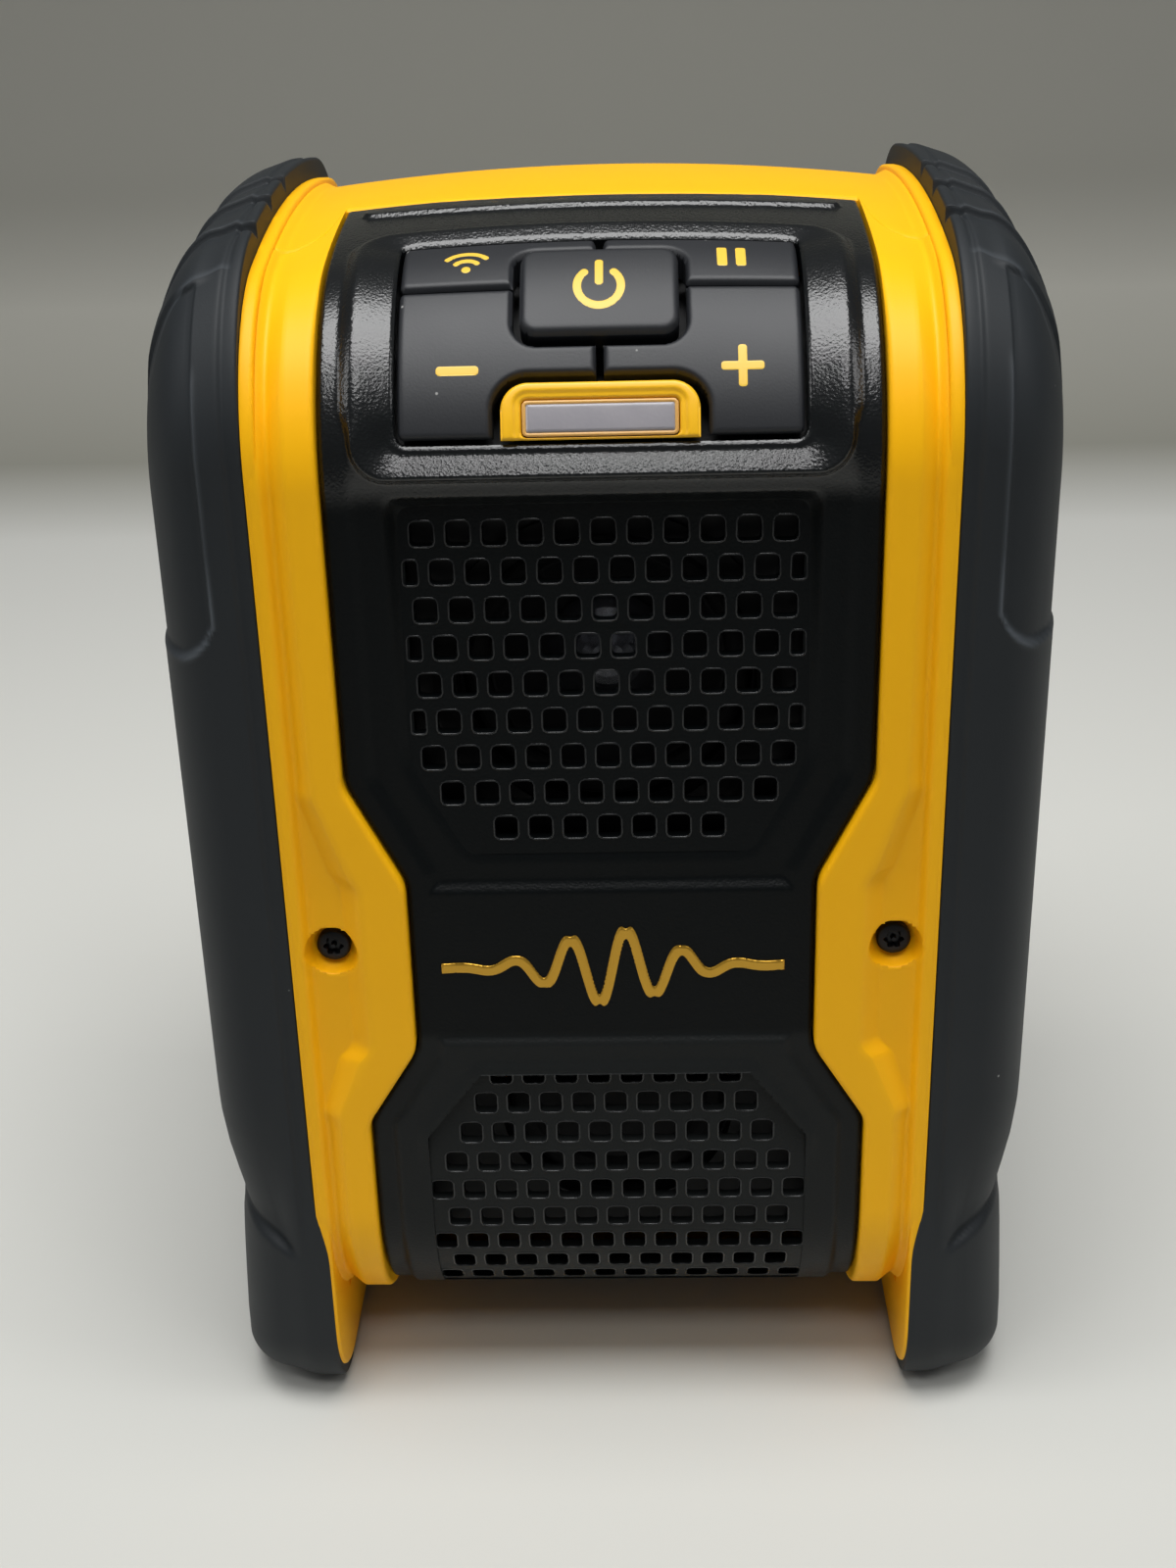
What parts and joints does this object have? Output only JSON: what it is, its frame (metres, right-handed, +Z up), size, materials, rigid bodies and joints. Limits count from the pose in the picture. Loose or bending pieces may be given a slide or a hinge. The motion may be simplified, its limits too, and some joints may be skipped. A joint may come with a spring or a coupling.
{
  "type": "bluetooth speaker",
  "caption": "Cordless jobsite speaker with a waisted black grille panel, sloped control keys, rubber bumpers, yellow casing and a slide-on battery dock at the back.",
  "frame": {"origin": "centre of the footprint on the floor", "axes": "+Z up, front panel faces -Y, +X to the viewer's right"},
  "size_m": [0.126, 0.107, 0.188],
  "materials": {
    "casing": "satin moulded nylon",
    "bumper": "matt overmoulded rubber",
    "panel": "fine-grained satin black",
    "key": "satin grey silicone",
    "lamp_frame": "satin yellow",
    "lens": "frosted",
    "inner_plastic": "plain moulding",
    "board": "circuit board",
    "component": "component body",
    "light": "clear cap",
    "foam": "closed-cell foam",
    "steel": "plated",
    "dark_steel": "black oxide",
    "magnet": "sintered",
    "spider": "impregnated cloth",
    "copper": "wound wire",
    "cone": "moulded cone",
    "cap": "bright dome",
    "sink": "extruded",
    "blade": "plated",
    "lead": "insulated wire",
    "ribbon": "ribbon cable"
  },
  "bodies": {
    "casing": {"front_frame": "casing", "rear_housing": "casing", "left_bumper": "bumper", "right_bumper": "bumper", "front_panel": "panel", "lamp_frame": "lamp_frame", "lamp_lens": "lens", "key_guide": "inner_plastic", "control_board": "board", "tact_switches": "component", "status_light": "light", "guide_screws": "steel", "baffle": "inner_plastic", "baffle_seal": "foam", "baffle_screws": "steel", "driver_gasket": "foam", "driver_basket": "dark_steel", "driver_plate": "steel", "driver_magnet": "magnet", "driver_yoke": "steel", "driver_spider": "spider", "driver_screws": "steel", "radiator_frame": "inner_plastic", "radiator_screws": "steel", "main_board": "board", "capacitors": "component", "heat_sink": "sink", "board_screws": "steel", "battery_dock": "inner_plastic", "terminal_block": "inner_plastic", "terminal_blades": "blade", "dock_screws": "dark_steel", "front_screws": "dark_steel", "rear_screws": "dark_steel", "driver_leads": "lead", "board_cable": "ribbon"},
    "pairing_key_cap": {"pairing_key": "key"},
    "play_key_cap": {"play_key": "key"},
    "power_key_cap": {"power_key": "key"},
    "volume_down_key_cap": {"volume_down_key": "key"},
    "volume_up_key_cap": {"volume_up_key": "key"},
    "cone_group": {"driver_cone": "cone", "dust_cap": "cap", "voice_coil": "copper", "driver_surround": "foam"},
    "radiator_group": {"radiator_cone": "cone", "radiator_weight": "steel", "radiator_surround": "foam"}
  },
  "joints": [
    {"name": "pairing_key_press", "type": "slide", "parent": "casing", "child": "pairing_key_cap", "axis": [0, 0.6691, -0.7431], "range_m": [0, 0.0008], "stiffness_N_per_m": 900},
    {"name": "play_key_press", "type": "slide", "parent": "casing", "child": "play_key_cap", "axis": [0, 0.6691, -0.7431], "range_m": [0, 0.0008], "stiffness_N_per_m": 900},
    {"name": "power_key_press", "type": "slide", "parent": "casing", "child": "power_key_cap", "axis": [0, 0.6691, -0.7431], "range_m": [0, 0.0008], "stiffness_N_per_m": 900},
    {"name": "volume_down_key_press", "type": "slide", "parent": "casing", "child": "volume_down_key_cap", "axis": [0, 0.6691, -0.7431], "range_m": [0, 0.0008], "stiffness_N_per_m": 900},
    {"name": "volume_up_key_press", "type": "slide", "parent": "casing", "child": "volume_up_key_cap", "axis": [0, 0.6691, -0.7431], "range_m": [0, 0.0008], "stiffness_N_per_m": 900},
    {"name": "cone_stroke", "type": "slide", "parent": "casing", "child": "cone_group", "axis": [0, -1, 0], "range_m": [-0.0015, 0.0015], "stiffness_N_per_m": 1500},
    {"name": "radiator_stroke", "type": "slide", "parent": "casing", "child": "radiator_group", "axis": [0, -1, 0], "range_m": [-0.0015, 0.0015], "stiffness_N_per_m": 900}
  ]
}
